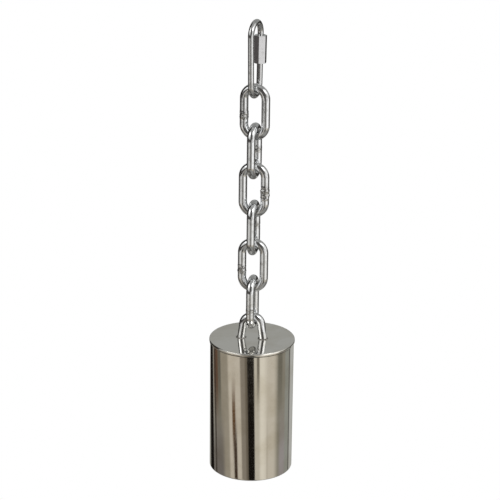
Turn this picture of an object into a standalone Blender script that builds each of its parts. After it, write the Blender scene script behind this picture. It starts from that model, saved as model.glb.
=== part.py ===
"""A hanging pipe bell: a quick link, a welded chain, a capped tube open at its mouth, and a clapper.

Metres, +Z up. The origin is where a hook bears, on the inside of the quick link's top bow,
and every other height is worked down from there.
"""

import math

import bmesh
import bpy
from mathutils import Matrix, Vector

MM = 0.001
GAP = 0.3 * MM  # clearance between pieces that touch or nearly touch

# Welded chain
CHAIN_WIRE = 5.0 * MM
LINK_INSIDE = 24.0 * MM  # clear length inside one link
LINK_WIDTH = 18.4 * MM  # over both legs
LINK_TURNS = (-20.0, 73.3, -14.0, 76.8, -12.0, 78.2)  # degrees each link hangs turned about +Z
HANGER_TURN = -8.0  # degrees: the link that is welded through the plate
HANGER_TOP_RADIUS = 5.5 * MM  # wire centre; the legs spread from this bow to the wider lower one
HANGER_BOTTOM_RADIUS = 7.5 * MM
CLAPPER_LINK_TURN = 82.0  # degrees

# Quick link
QUICK_WIRE = 3.5 * MM
QUICK_LENGTH = 46.5 * MM  # over both bows
QUICK_TOP_RADIUS = 7.2 * MM  # wire centre
QUICK_BOTTOM_RADIUS = 6.3 * MM
QUICK_TURN = 67.5  # degrees about +Z
JAW_TOP_Z = -12.3 * MM  # upper stub's end
JAW = 5.5 * MM  # opening that the sleeve closes
SLEEVE_LENGTH = 16.4 * MM
SLEEVE_FLATS = 6.8 * MM
SLEEVE_TOP_Z = -7.1 * MM
SLEEVE_TURN = 39.5  # degrees that the hexagon is turned about the leg
SLEEVE_FACE = 0.97  # share of the hexagon's inner radius that each flat end face keeps
SLEEVE_CHAMFER = 30.0  # degrees off the end face

# Bell
TUBE_RADIUS = 25.4 * MM
TUBE_WALL = 2.0 * MM
BELL_HEIGHT = 84.0 * MM  # plate's top to the rim
RIM_ROUND = 0.4 * MM
PLATE_THICKNESS = 2.0 * MM
PLATE_LIP = 0.5 * MM  # how far the plate stands out past the tube
PLATE_ROUND = 0.45 * MM
LOOP_CROWN = 14.2 * MM  # hanger's top wire centre above the plate
SEAM_LEG = 2.5 * MM  # fillet weld inside the bell
BEAD_WIDTH = 0.8 * MM  # weld bead round each hanger leg
BEAD_HEIGHT = 0.6 * MM
BEAD_SHOULDER = (0.7, 0.6)  # the bead's shoulder, as shares of its width and height

# Clapper
ROD_WIRE = 4.0 * MM
EYE_RADIUS = 5.2 * MM  # wire centre
EYE_STEM = 9.5 * MM  # eye's centre down to where the shank is straight
EYE_START, EYE_END = -60.0, 230.0  # degrees round the eye that the wire follows
BALL_RADIUS = 9.3 * MM
BALL_CLEAR = 6.8 * MM  # ball's lowest point above the rim
SOCKET_DEPTH = 8.0 * MM  # how far the shank enters the ball
BEND_REACH = 0.45  # share of the shank's bend that its handles reach

ARC_STEPS = 12  # segments in half a turn of wire
WIRE_RING = 4  # bevel resolution: twelve sides round a wire
ROUND_STEPS = 72  # segments round the tube and the plate
SMALL_STEPS = 24  # segments round small turned pieces
CORNER_STEPS = 3  # segments in a rounded corner
SHARP_ANGLE = math.radians(35.0)

# Worked out from the sizes above
LINK_RADIUS = (LINK_WIDTH - CHAIN_WIRE) / 2
LINK_SPAN = LINK_INSIDE + CHAIN_WIRE  # top wire centre to bottom wire centre
LINK_HOOK = CHAIN_WIRE + GAP  # wire centre to wire centre where two links hang in each other
QUICK_TOP = QUICK_WIRE / 2
QUICK_BOTTOM = QUICK_TOP - (QUICK_LENGTH - QUICK_WIRE)
QUICK_HOOK = (QUICK_WIRE + CHAIN_WIRE) / 2 + GAP
FIRST_LINK_TOP = QUICK_BOTTOM + QUICK_HOOK
LINK_STEP = LINK_SPAN - LINK_HOOK
LAST_LINK_BOTTOM = FIRST_LINK_TOP - LINK_SPAN - LINK_STEP * (len(LINK_TURNS) - 1)
HANGER_TOP = LAST_LINK_BOTTOM + LINK_HOOK
HANGER_BOTTOM = HANGER_TOP - LINK_SPAN
PLATE_TOP = HANGER_TOP - LOOP_CROWN
PLATE_UNDER = PLATE_TOP - PLATE_THICKNESS
RIM = PLATE_TOP - BELL_HEIGHT
TUBE_BORE = TUBE_RADIUS - TUBE_WALL
CLAPPER_LINK_TOP = HANGER_BOTTOM + LINK_HOOK
CLAPPER_LINK_BOTTOM = CLAPPER_LINK_TOP - LINK_SPAN
EYE_CENTRE = CLAPPER_LINK_BOTTOM + (CHAIN_WIRE + ROD_WIRE) / 2 + GAP - EYE_RADIUS
BALL_CENTRE = RIM + BALL_CLEAR + BALL_RADIUS


def material(name, colour, roughness, metallic=1.0):
    """A Principled material of one plain finish."""
    made = bpy.data.materials.new(name)
    made.use_nodes = True
    shader = made.node_tree.nodes["Principled BSDF"]
    shader.inputs["Base Color"].default_value = (*colour, 1.0)
    shader.inputs["Roughness"].default_value = roughness
    shader.inputs["Metallic"].default_value = metallic
    return made


def add_object(name, data, finish, pivot=(0, 0, 0), turn=0.0):
    """Link an object to the scene with its origin on its pivot, turned about +Z."""
    obj = bpy.data.objects.new(name, data)
    obj.location = pivot
    obj.rotation_euler.z = math.radians(turn)
    data.materials.append(finish)
    bpy.context.scene.collection.objects.link(obj)
    return obj


def arc(radius, start, end, steps, centre=(0.0, 0.0)):
    """Points of an arc in a plane, from one angle in degrees to another."""
    angles = [math.radians(start + (end - start) * i / steps) for i in range(steps + 1)]
    return [(centre[0] + radius * math.cos(a), centre[1] + radius * math.sin(a)) for a in angles]


def wire(name, points, diameter, finish, pivot, turn, closed):
    """A round wire along points (x, z) of its own upright plane, given in world heights."""
    curve = bpy.data.curves.new(name, "CURVE")
    curve.dimensions = "3D"
    curve.bevel_depth = diameter / 2
    curve.bevel_resolution = WIRE_RING
    curve.use_fill_caps = not closed
    spline = curve.splines.new("POLY")
    spline.points.add(len(points) - 1)
    for point, (x, z) in zip(spline.points, points):
        point.co = (x, 0.0, z - pivot.z, 1.0)
    spline.use_cyclic_u = closed
    spline.use_smooth = True
    return add_object(name, curve, finish, pivot, turn)


def leg_spread(top, bottom, top_radius, bottom_radius):
    """Angle in degrees by which straight legs between two bows spread out towards the lower one."""
    centres = (top - top_radius) - (bottom + bottom_radius)
    return math.degrees(math.asin((bottom_radius - top_radius) / centres))


def link_outline(top, bottom, top_radius=LINK_RADIUS, bottom_radius=LINK_RADIUS):
    """Centre line of a chain link: two bows and the straight legs between them."""
    spread = leg_spread(top, bottom, top_radius, bottom_radius)
    upper = arc(top_radius, spread, 180 - spread, ARC_STEPS, (0.0, top - top_radius))
    lower = arc(bottom_radius, 180 - spread, 360 + spread, ARC_STEPS, (0.0, bottom + bottom_radius))
    return upper + lower


def chain_link(name, top, pivot_z, turn, finish):
    """A whole link, hung by its top bow, that turns about the wire it hangs on."""
    outline = link_outline(top, top - LINK_SPAN)
    return wire(name, outline, CHAIN_WIRE, finish, Vector((0, 0, pivot_z)), turn, closed=True)


def turned(name, profile, finish, steps, pivot_z=0.0):
    """A solid of revolution about Z from a closed profile of (radius, world height)."""
    bm = bmesh.new()
    verts = [bm.verts.new((r, 0.0, z - pivot_z)) for r, z in profile]
    edges = [bm.edges.new((a, b)) for a, b in zip(verts, verts[1:] + verts[:1])]
    bmesh.ops.spin(bm, geom=verts + edges, cent=(0, 0, 0), axis=(0, 0, 1), angle=math.tau, steps=steps)
    bmesh.ops.remove_doubles(bm, verts=bm.verts, dist=1e-7)
    bmesh.ops.recalc_face_normals(bm, faces=bm.faces)
    mesh = bpy.data.meshes.new(name)
    bm.to_mesh(mesh)
    bm.free()
    mesh.shade_smooth()
    mesh.set_sharp_from_angle(angle=SHARP_ANGLE)
    return add_object(name, mesh, finish, Vector((0, 0, pivot_z)))


def cutter(name, target, operation, radius, depth, matrix, sides):
    """A hidden prism used once by a Boolean on the target."""
    bm = bmesh.new()
    bmesh.ops.create_cone(
        bm, cap_ends=True, segments=sides, radius1=radius, radius2=radius, depth=depth, matrix=matrix
    )
    mesh = bpy.data.meshes.new(name)
    bm.to_mesh(mesh)
    bm.free()
    tool = bpy.data.objects.new(name, mesh)
    bpy.context.scene.collection.objects.link(tool)
    tool.hide_render = True
    tool.display_type = "WIRE"
    cut = target.modifiers.new(name, "BOOLEAN")
    cut.operation = operation
    cut.object = tool
    cut.solver = "EXACT"
    return tool


def quick_leg_tilt():
    """Angle of the quick link's legs off the vertical, because its top bow is the wider one."""
    centres = (QUICK_TOP - QUICK_TOP_RADIUS) - (QUICK_BOTTOM + QUICK_BOTTOM_RADIUS)
    return math.degrees(math.asin((QUICK_TOP_RADIUS - QUICK_BOTTOM_RADIUS) / centres))


def quick_leg_x(z):
    """Distance of the threaded leg's centre from the link's middle at a height."""
    tilt = math.radians(quick_leg_tilt())
    start_x = QUICK_TOP_RADIUS * math.cos(tilt)
    start_z = QUICK_TOP - QUICK_TOP_RADIUS - QUICK_TOP_RADIUS * math.sin(tilt)
    return start_x - (start_z - z) * math.tan(tilt)


def build_quick_link(finish):
    """The body, open at the jaw, and the hexagon sleeve that screws over the jaw."""
    tilt = quick_leg_tilt()
    top = arc(QUICK_TOP_RADIUS, -tilt, 180 + tilt, ARC_STEPS, (0.0, QUICK_TOP - QUICK_TOP_RADIUS))
    bottom_centre = (0.0, QUICK_BOTTOM + QUICK_BOTTOM_RADIUS)
    bottom = arc(QUICK_BOTTOM_RADIUS, 180 + tilt, 360 - tilt, ARC_STEPS, bottom_centre)
    jaw_bottom = JAW_TOP_Z - JAW
    upper_stub = (quick_leg_x(JAW_TOP_Z), JAW_TOP_Z)
    lower_stub = (quick_leg_x(jaw_bottom), jaw_bottom)
    path = [upper_stub] + top + bottom + [lower_stub]
    wire("quick_link_body", path, QUICK_WIRE, finish, Vector((0, 0, 0)), QUICK_TURN, closed=False)

    half = SLEEVE_LENGTH / 2
    corner = SLEEVE_FLATS / math.sqrt(3)
    blank = corner * 1.05  # the turned blank is a little wider than the hexagon cut from it
    face_edge = SLEEVE_FLATS / 2 * SLEEVE_FACE
    drop = (blank - face_edge) * math.tan(math.radians(SLEEVE_CHAMFER))
    bore = QUICK_WIRE / 2 + GAP
    profile = [
        (bore, half), (bore, -half), (face_edge, -half), (blank, -half + drop),
        (blank, half - drop), (face_edge, half),
    ]
    sleeve = turned("quick_link_sleeve", profile, finish, SMALL_STEPS)
    middle = SLEEVE_TOP_Z - half
    turn = Matrix.Rotation(math.radians(QUICK_TURN), 4, "Z")
    lean = Matrix.Rotation(math.radians(tilt), 4, "Y")
    place = turn @ Matrix.Translation((quick_leg_x(middle), 0, middle)) @ lean
    hexagon = place @ Matrix.Rotation(math.radians(SLEEVE_TURN), 4, "Z")
    sleeve.matrix_world = place
    cutter("cut_hexagon", sleeve, "INTERSECT", corner, SLEEVE_LENGTH * 2, hexagon, 6)


def build_chain(finish):
    """Six links, each turning about the wire of the one above."""
    top, hung_on = FIRST_LINK_TOP, QUICK_BOTTOM
    for number, turn in enumerate(LINK_TURNS, start=1):
        chain_link(f"chain_link_{number}", top, hung_on, turn, finish)
        hung_on = top - LINK_SPAN
        top -= LINK_STEP


def rounded(corners):
    """A profile from (radius, height, rounding) corners, each rounded by an arc of its own."""
    points = []
    for i, (r, z, size) in enumerate(corners):
        if not size:
            points.append((r, z))
            continue
        here = Vector((r, z))
        before = (Vector(corners[i - 1][:2]) - here).normalized()
        after = (Vector(corners[(i + 1) % len(corners)][:2]) - here).normalized()
        centre = here + (before + after) * size
        for step in range(CORNER_STEPS + 1):
            angle = math.pi / 2 * step / CORNER_STEPS
            points.append(tuple(centre - after * size * math.cos(angle) - before * size * math.sin(angle)))
    return points


def hanger_spread():
    return math.radians(leg_spread(HANGER_TOP, HANGER_BOTTOM, HANGER_TOP_RADIUS, HANGER_BOTTOM_RADIUS))


def hanger_leg_place(side, z):
    """World place of one hanger leg, on the left (-1) or the right (+1)."""
    turn, spread = math.radians(HANGER_TURN), hanger_spread()
    start_z = HANGER_TOP - HANGER_TOP_RADIUS * (1 - math.sin(spread))
    reach = side * (HANGER_TOP_RADIUS * math.cos(spread) + (start_z - z) * math.tan(spread))
    return Vector((reach * math.cos(turn), reach * math.sin(turn), z))


def build_bell(shell, chain_finish, weld):
    """Plate, tube and their inner seam, with the hanger link through the plate and its two beads."""
    plate_radius = TUBE_RADIUS + PLATE_LIP
    plate = turned("top_plate", rounded([
        (0.0, PLATE_TOP, 0), (0.0, PLATE_UNDER, 0),
        (plate_radius, PLATE_UNDER, PLATE_ROUND), (plate_radius, PLATE_TOP, PLATE_ROUND),
    ]), shell, ROUND_STEPS, LAST_LINK_BOTTOM)
    tube_top = PLATE_UNDER - GAP
    turned("bell_tube", rounded([
        (TUBE_BORE, tube_top, 0), (TUBE_BORE, RIM, RIM_ROUND),
        (TUBE_RADIUS, RIM, RIM_ROUND), (TUBE_RADIUS, tube_top, 0),
    ]), shell, ROUND_STEPS, LAST_LINK_BOTTOM)
    wall, roof = TUBE_BORE - GAP, PLATE_UNDER - GAP
    turned("seam_weld", [(wall, roof), (wall - SEAM_LEG, roof), (wall, roof - SEAM_LEG)],
           weld, ROUND_STEPS, LAST_LINK_BOTTOM)
    outline = link_outline(HANGER_TOP, HANGER_BOTTOM, HANGER_TOP_RADIUS, HANGER_BOTTOM_RADIUS)
    pivot = Vector((0, 0, LAST_LINK_BOTTOM))
    wire("hanger_link", outline, CHAIN_WIRE, chain_finish, pivot, HANGER_TURN, closed=True)

    inner = CHAIN_WIRE / 2 + GAP
    foot = PLATE_TOP + GAP
    shoulder = (inner + BEAD_WIDTH * BEAD_SHOULDER[0], foot + BEAD_HEIGHT * BEAD_SHOULDER[1])
    for side, word in ((-1, "left"), (1, "right")):
        hole = (
            Matrix.Translation(hanger_leg_place(side, (PLATE_TOP + PLATE_UNDER) / 2))
            @ Matrix.Rotation(math.radians(HANGER_TURN), 4, "Z")
            @ Matrix.Rotation(-side * hanger_spread(), 4, "Y")
        )
        cutter(f"cut_{word}_hole", plate, "DIFFERENCE", inner, PLATE_THICKNESS * 3, hole, SMALL_STEPS)
        bead = turned(f"hanger_weld_{word}", [
            (inner, foot), (inner + BEAD_WIDTH, foot), shoulder, (inner, foot + BEAD_HEIGHT),
        ], weld, SMALL_STEPS, PLATE_TOP)
        bead.location = hanger_leg_place(side, PLATE_TOP)


def eye_path(shank_end):
    """Centre line of the clapper rod: a straight shank that bends into an almost closed eye."""
    ring = arc(EYE_RADIUS, EYE_START, EYE_END, 2 * ARC_STEPS, (0.0, EYE_CENTRE))
    start = Vector((0.0, EYE_CENTRE - EYE_STEM))
    end = Vector(ring[0])
    heading = Vector((math.sin(math.radians(-EYE_START)), math.cos(math.radians(EYE_START))))
    reach = (end - start).length * BEND_REACH
    handle_a, handle_b = start + Vector((0.0, reach)), end - heading * reach
    bend = []
    for step in range(1, ARC_STEPS // 2):
        t = step / (ARC_STEPS // 2)
        bend.append(tuple(
            start * (1 - t) ** 3 + handle_a * 3 * t * (1 - t) ** 2 + handle_b * 3 * t * t * (1 - t) + end * t**3
        ))
    return [(0.0, shank_end), tuple(start)] + bend + ring


def build_clapper(chain_finish, rod_finish):
    """A link in the hanger's lower bow, and a rod with a ball drilled to take it."""
    chain_link("clapper_link", CLAPPER_LINK_TOP, HANGER_BOTTOM, CLAPPER_LINK_TURN, chain_finish)
    pivot = Vector((0, 0, CLAPPER_LINK_BOTTOM))
    shank_end = BALL_CENTRE + BALL_RADIUS - SOCKET_DEPTH
    wire("clapper_rod", eye_path(shank_end), ROD_WIRE, rod_finish, pivot, HANGER_TURN, closed=False)

    socket = ROD_WIRE / 2 + GAP
    mouth = math.degrees(math.acos(socket / BALL_RADIUS))
    ball = arc(BALL_RADIUS, mouth, -90, ARC_STEPS, (0.0, BALL_CENTRE))
    ball[-1] = (0.0, BALL_CENTRE - BALL_RADIUS)
    floor = shank_end - GAP
    turned("clapper_ball", ball + [(0.0, floor), (socket, floor)], rod_finish, SMALL_STEPS, pivot.z)


def main():
    for obj in list(bpy.data.objects):
        bpy.data.objects.remove(obj)
    shell = material("polished_nickel_plate", (0.62, 0.60, 0.56), 0.06)
    zinc = material("bright_zinc_plate", (0.70, 0.71, 0.70), 0.22)
    steel = material("plain_steel", (0.52, 0.52, 0.50), 0.35)
    build_quick_link(zinc)
    build_chain(zinc)
    build_bell(shell, zinc, steel)
    build_clapper(zinc, steel)


main()
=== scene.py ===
"""The finished look of a hanging pipe bell: quick link, welded chain, capped tube and clapper.

Laid out as an add-on: sizes and finishes are properties, each group of pieces has its operator,
and main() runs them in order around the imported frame. Metres, +Z up.
"""

import math

import bmesh
import bpy
from mathutils import Matrix, Vector


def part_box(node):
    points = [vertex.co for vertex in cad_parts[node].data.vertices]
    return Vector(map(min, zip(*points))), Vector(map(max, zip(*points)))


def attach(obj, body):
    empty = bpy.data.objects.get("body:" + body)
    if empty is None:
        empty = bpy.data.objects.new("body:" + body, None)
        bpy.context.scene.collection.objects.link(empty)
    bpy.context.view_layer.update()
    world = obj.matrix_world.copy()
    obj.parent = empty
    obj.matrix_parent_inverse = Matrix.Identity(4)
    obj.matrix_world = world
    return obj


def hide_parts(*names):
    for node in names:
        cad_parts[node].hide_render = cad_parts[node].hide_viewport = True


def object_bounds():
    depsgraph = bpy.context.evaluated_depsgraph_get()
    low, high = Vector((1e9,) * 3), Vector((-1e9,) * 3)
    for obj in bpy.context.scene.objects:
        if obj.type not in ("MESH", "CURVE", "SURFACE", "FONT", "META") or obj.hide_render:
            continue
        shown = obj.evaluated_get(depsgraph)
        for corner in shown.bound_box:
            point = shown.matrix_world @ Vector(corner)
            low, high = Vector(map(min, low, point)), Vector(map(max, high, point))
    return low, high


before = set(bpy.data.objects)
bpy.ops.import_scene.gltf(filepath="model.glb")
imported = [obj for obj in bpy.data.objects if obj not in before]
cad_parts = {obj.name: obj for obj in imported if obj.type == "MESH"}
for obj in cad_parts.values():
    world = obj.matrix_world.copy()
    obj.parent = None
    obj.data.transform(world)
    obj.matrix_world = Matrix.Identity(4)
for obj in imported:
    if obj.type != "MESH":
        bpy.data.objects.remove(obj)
CAD_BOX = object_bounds()

bl_info = {
    "name": "Hanging pipe bell",
    "version": (1, 0, 0),
    "blender": (4, 5, 0),
    "location": "3D View > Sidebar > Pipe Bell",
    "description": "Builds a chain-hung pipe bell and its studio around the packed frame",
    "category": "Object",
}

MM = 0.001
GAP = 0.3 * MM  # clearance between pieces that touch or nearly touch

# Places, read from the frame
PLATE_LOW, PLATE_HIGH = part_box("top_plate")
TUBE_LOW, TUBE_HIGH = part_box("bell_tube")
_, SEAM_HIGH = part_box("seam_weld")
BALL_LOW, BALL_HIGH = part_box("clapper_ball")
QUICK_LOW, QUICK_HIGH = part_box("quick_link_body")
ROD_LOW, ROD_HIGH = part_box("clapper_rod")
PLATE_TOP, PLATE_UNDER = PLATE_HIGH.z, PLATE_LOW.z
PLATE_RADIUS = (PLATE_HIGH.x - PLATE_LOW.x) / 2
TUBE_RADIUS = (TUBE_HIGH.x - TUBE_LOW.x) / 2

# Each link: CAD node and body, turn about +Z in degrees, then its butt weld: side (+1 is the leg
# the turn points at), height above the link's middle, reach along the leg and raise, in mm
LINKS = (
    ("chain_link_1", "chain_link_1", -20.0, -1, -2.2, 3.2, 0.40),
    ("chain_link_2", "chain_link_2", 73.3, 1, 0.0, 2.4, 0.22),
    ("chain_link_3", "chain_link_3", -14.0, 1, -1.6, 5.2, 0.50),
    ("chain_link_4", "chain_link_4", 76.8, 1, 0.4, 2.2, 0.20),
    ("chain_link_5", "chain_link_5", -12.0, -1, -2.4, 3.4, 0.38),
    ("chain_link_6", "chain_link_6", 78.2, -1, -2.8, 2.2, 0.18),
    ("hanger_link", "bell", -8.0, -1, -7.5, 3.0, 0.30),
    ("clapper_link", "clapper_link", 82.0, 1, 0.0, 3.0, 0.32),
)
HANGER_TURN = -8.0  # degrees about +Z, shared by the clapper's eye
HANGER_BOWS = (5.5 * MM, 7.5 * MM)  # wire centre; the legs spread towards the lower bow
QUICK_TURN = 67.5  # degrees about +Z
SLEEVE_CORNER = 17.0  # degrees about +Z of one hexagon corner
QUICK_TOP_RADIUS, QUICK_BOTTOM_RADIUS = 7.2 * MM, 6.3 * MM  # wire centre
STUB_THREAD, STUB_CHAMFER = 6.0 * MM, 0.35 * MM  # thread's length and end chamfer on each stub
JAW_TOP, JAW_BOTTOM = -12.3 * MM, -17.8 * MM  # heights of the two threaded stubs' ends
SLEEVE_TOP = -7.1 * MM  # height of the sleeve's upper face on its leg
SLEEVE_FACE = 0.97  # share of the hexagon's inner radius that each flat end face keeps
SLEEVE_CHAMFER = math.radians(30.0)  # off the end face
SLEEVE_EASE = 0.18 * MM  # radius left on each corner by the rolling of the bar
COUNTERSINK = 0.35 * MM  # at each end of the sleeve's bore
GROOVE = 0.12 * MM  # depth of the thread in the bore
EYE_RADIUS, EYE_STEM = 5.2 * MM, 9.5 * MM
ROD_CHAMFER = 0.4 * MM
BEAD_BITE = 0.05 * MM  # how far the beads on the hanger run into its wire and the plate
EYE_START, EYE_END = -60.0, 230.0  # degrees round the eye that the wire follows
EYE_BEND = 0.45  # share of the shank's bend that its handles reach
BALL_LIP = 0.35 * MM  # chamfer round the ball's socket

# Fineness of the meshes
ARC_STEPS = 40  # segments in half a turn of wire
RING_STEPS = 32  # segments round a wire
WIRE_STEP, ROD_STEP = 0.35 * MM, 0.3 * MM  # lengths of the rings along the links and the rod
THREAD_STEP = 0.1 * MM  # six rings in each turn of the quick link's thread
TURN_STEPS = 192  # segments round the tube and plate
CORNER_STEPS = 8  # segments in a rounded corner
HEXAGON_STEPS = 10  # segments along each flat of the sleeve
GROOVE_STEPS = 6  # segments in each turn of the sleeve's thread
DRILL_STEPS = 64  # segments round a drilled hole
BEAD_STEPS, SEAM_STEPS = 120, 720  # segments round each hanger bead and round the seam
BALL_STEPS = 48  # segments down the clapper's ball; twice as many go round it
SMOOTH_ANGLE = math.radians(40.0)
SLEEVE_SMOOTH_ANGLE = math.radians(20.0)
MERGE = 0.0005 * MM  # points nearer than this become one
HOLD = 0.3 * MM  # rings this far off a rounding keep the faces beside it looking flat

MATH, VECTOR, RANGE, NOISE = (
    "ShaderNodeMath", "ShaderNodeVectorMath", "ShaderNodeMapRange", "ShaderNodeTexNoise",
)
MIX_FACTOR, MIX_A, MIX_B, MIX_RESULT = 0, 6, 7, 2  # colour sockets of a Mix node


# ---------------------------------------------------------------- colours and nodes


def linear(code):
    """An sRGB hex code as linear red, green, blue and alpha."""
    parts = [int(code[i:i + 2], 16) / 255 for i in (1, 3, 5)]
    return (*[p / 12.92 if p <= 0.04045 else ((p + 0.055) / 1.055) ** 2.4 for p in parts], 1.0)


def feed(tree, made, inputs):
    """Give each named or numbered input of a node a value, a socket's link or a node's first output."""
    for key, value in inputs.items():
        if isinstance(value, bpy.types.Node):
            value = value.outputs[0]
        if isinstance(value, bpy.types.NodeSocket):
            tree.links.new(value, made.inputs[key])
        else:
            made.inputs[key].default_value = value
    return made


def node(tree, kind, inputs=None, **settings):
    """Add a node with its settings and its inputs."""
    made = tree.nodes.new(kind)
    for key, value in settings.items():
        setattr(made, key, value)
    return feed(tree, made, inputs or {})


# ---------------------------------------------------------------- properties


def length(name, description, default):
    """A size in metres."""
    return bpy.props.FloatProperty(
        name=name, description=description, default=default, min=0.0, precision=5, unit="LENGTH"
    )


def colour(name, description, code):
    """A finish's colour."""
    return bpy.props.FloatVectorProperty(
        name=name, description=description, default=linear(code), size=4, min=0.0, max=1.0,
        subtype="COLOR",
    )


class PipeBellSizes(bpy.types.PropertyGroup):
    """Sizes of the bell's pieces."""

    chain_wire: length("Chain Wire", "Diameter of the chain's wire", 5.0 * MM)
    link_width: length("Link Width", "A link's width over both legs", 18.4 * MM)
    quick_wire: length("Quick Link Wire", "Diameter of the quick link's wire", 3.5 * MM)
    thread_pitch: length("Thread Pitch", "Pitch of the quick link's thread", 0.6 * MM)
    thread_depth: length("Thread Depth", "Depth of the quick link's thread", 0.22 * MM)
    sleeve_flats: length("Sleeve Flats", "The hexagon sleeve's width across flats", 6.8 * MM)
    sleeve_length: length("Sleeve Length", "Length of the hexagon sleeve", 16.4 * MM)
    tube_wall: length("Tube Wall", "Wall of the bell's tube", 2.0 * MM)
    rim_round: length("Rim Round", "Rounding of the bell's rim", 0.4 * MM)
    plate_round: length("Plate Round", "Rounding of the top plate's edge", 0.45 * MM)
    seam_leg: length("Seam Leg", "Leg of the fillet weld inside the bell", 2.5 * MM)
    bead_width: length("Bead Width", "Width of the weld bead round each hanger leg", 0.8 * MM)
    bead_height: length("Bead Height", "Height of that bead above the plate", 0.6 * MM)
    rod_wire: length("Clapper Wire", "Diameter of the clapper's rod", 4.0 * MM)


class PipeBellFinishes(bpy.types.PropertyGroup):
    """Colours of the bell's finishes."""

    nickel: colour("Nickel", "Polished nickel plate on the tube and the top plate", "#f1efea")
    nickel_stain: colour("Nickel Stain", "Faint tarnish on the nickel", "#e2ded4")
    zinc: colour("Zinc", "Bright zinc plate on the chain and the quick link", "#e7e8e9")
    zinc_dull: colour("Dull Zinc", "Zinc that has gone grey in its low places", "#b4b4b1")
    weld: colour("Weld", "Weld metal", "#b3b0aa")
    weld_burnt: colour("Burnt Weld", "Oxide left by welding", "#4c443d")
    steel: colour("Steel", "Plain turned and drawn steel", "#b9b7b2")
    steel_dark: colour("Dark Steel", "Steel with a trace of scale", "#8a8782")
    floor: colour("Floor", "Floor of the studio", "#ffffff")


class PipeBellStudio(bpy.types.PropertyGroup):
    """The camera and the light."""

    distance: length("Camera Distance", "Camera's distance in front of the bell's axis", 1.030)
    height: length("Camera Height", "Camera's height above the hook", 0.2399)
    pitch: bpy.props.FloatProperty(
        name="Pitch", description="How far the camera looks down", default=math.radians(20.075),
        subtype="ANGLE",
    )
    heading: bpy.props.FloatProperty(
        name="Heading", description="How far the camera is turned to the left",
        default=math.radians(0.105), subtype="ANGLE",
    )
    roll: bpy.props.FloatProperty(
        name="Roll", description="The camera's roll", default=math.radians(0.68), subtype="ANGLE"
    )
    lens: bpy.props.FloatProperty(
        name="Lens", description="Focal length in millimetres", default=132.5, min=1.0
    )
    brightness: bpy.props.FloatProperty(
        name="Brightness", description="Strength of the studio's cards", default=1.14, min=0.0
    )
    floor_drop: length("Floor Drop", "Floor's depth below the hook", 2.0)


# ---------------------------------------------------------------- finishes


def metal(name):
    """An empty metal, as its material, its node tree and its Object coordinates."""
    made = bpy.data.materials.new(name)
    made.use_nodes = True
    made.node_tree.nodes["Principled BSDF"].inputs["Metallic"].default_value = 1.0
    return made, made.node_tree, node(made.node_tree, "ShaderNodeTexCoord").outputs["Object"]


def surfaced(made, worn, colours, rough, height, strength, depth):
    """Give a metal its two colours, mixed by how worn it is, its roughness and its bump."""
    tree = made.node_tree
    tone = node(tree, "ShaderNodeMix", {
        MIX_FACTOR: worn, MIX_A: colours[0], MIX_B: colours[1],
    }, data_type="RGBA").outputs[MIX_RESULT]
    bump = node(tree, "ShaderNodeBump", {"Height": height, "Strength": strength, "Distance": depth})
    feed(tree, tree.nodes["Principled BSDF"], {"Base Color": tone, "Roughness": rough, "Normal": bump})
    return made


def polished_nickel():
    """Nickel electroplate over steel, buffed round the tube on a wheel.

    A mirror with a faint warm cast. Buffing leaves hair-fine lines that run round the tube, so
    reflections stay sharp across it and soften slightly along it. Handling leaves thin tarnish.
    """
    finishes = bpy.context.scene.pipe_bell_finishes
    made, tree, place = metal("polished_nickel_plate")
    # Tarnish clouds are about 14 mm across.
    cloud = node(tree, NOISE, {"Vector": place, "Scale": 70.0, "Detail": 3.0})
    cloud = node(tree, RANGE, {"Value": cloud, "From Min": 0.42, "From Max": 0.72})
    # Buffing lines are 0.02 mm apart on the real tube. They are drawn 0.4 mm apart to show.
    along = node(tree, "ShaderNodeMapping", {"Vector": place, "Scale": (25.0, 25.0, 2500.0)})
    lines = node(tree, NOISE, {"Vector": along, "Scale": 1.0, "Detail": 4.0})
    rough = node(tree, RANGE, {
        "Value": lines, "From Min": 0.3, "From Max": 0.7, "To Min": 0.035, "To Max": 0.065,
    })
    rough = node(tree, MATH, {0: cloud, 1: 0.03, 2: rough}, operation="MULTIPLY_ADD")
    colours = (finishes.nickel, finishes.nickel_stain)
    return surfaced(made, cloud, colours, rough, lines, 0.02, 0.02 * MM)


def bright_zinc():
    """Bright zinc electroplate over welded and formed wire, tumbled before plating.

    A soft silver mirror. Tumbling leaves shallow dents about 1.5 mm across and the plate has a
    fine grain. Butt welds show a duller, rougher patch.
    """
    finishes = bpy.context.scene.pipe_bell_finishes
    made, tree, place = metal("bright_zinc_plate")
    # Dull patches are about 3 mm across.
    patch = node(tree, NOISE, {"Vector": place, "Scale": 330.0, "Detail": 5.0})
    patch = node(tree, RANGE, {"Value": patch, "From Min": 0.52, "From Max": 0.85})
    weld = node(tree, "ShaderNodeAttribute", attribute_name="weld").outputs["Fac"]
    dull = node(tree, MATH, {0: weld, 1: 0.3, 2: patch}, operation="MULTIPLY_ADD", use_clamp=True)
    rough = node(tree, RANGE, {"Value": dull, "To Min": 0.13, "To Max": 0.27})
    dents = node(tree, NOISE, {"Vector": place, "Scale": 650.0, "Detail": 2.0})
    # Plate grain is about 0.25 mm.
    grain = node(tree, NOISE, {"Vector": place, "Scale": 4000.0, "Detail": 2.0})
    height = node(tree, MATH, {0: grain, 1: 0.12, 2: dents}, operation="MULTIPLY_ADD")
    colours = (finishes.zinc, finishes.zinc_dull)
    return surfaced(made, dull, colours, rough, height, 0.14, 0.10 * MM)


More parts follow.
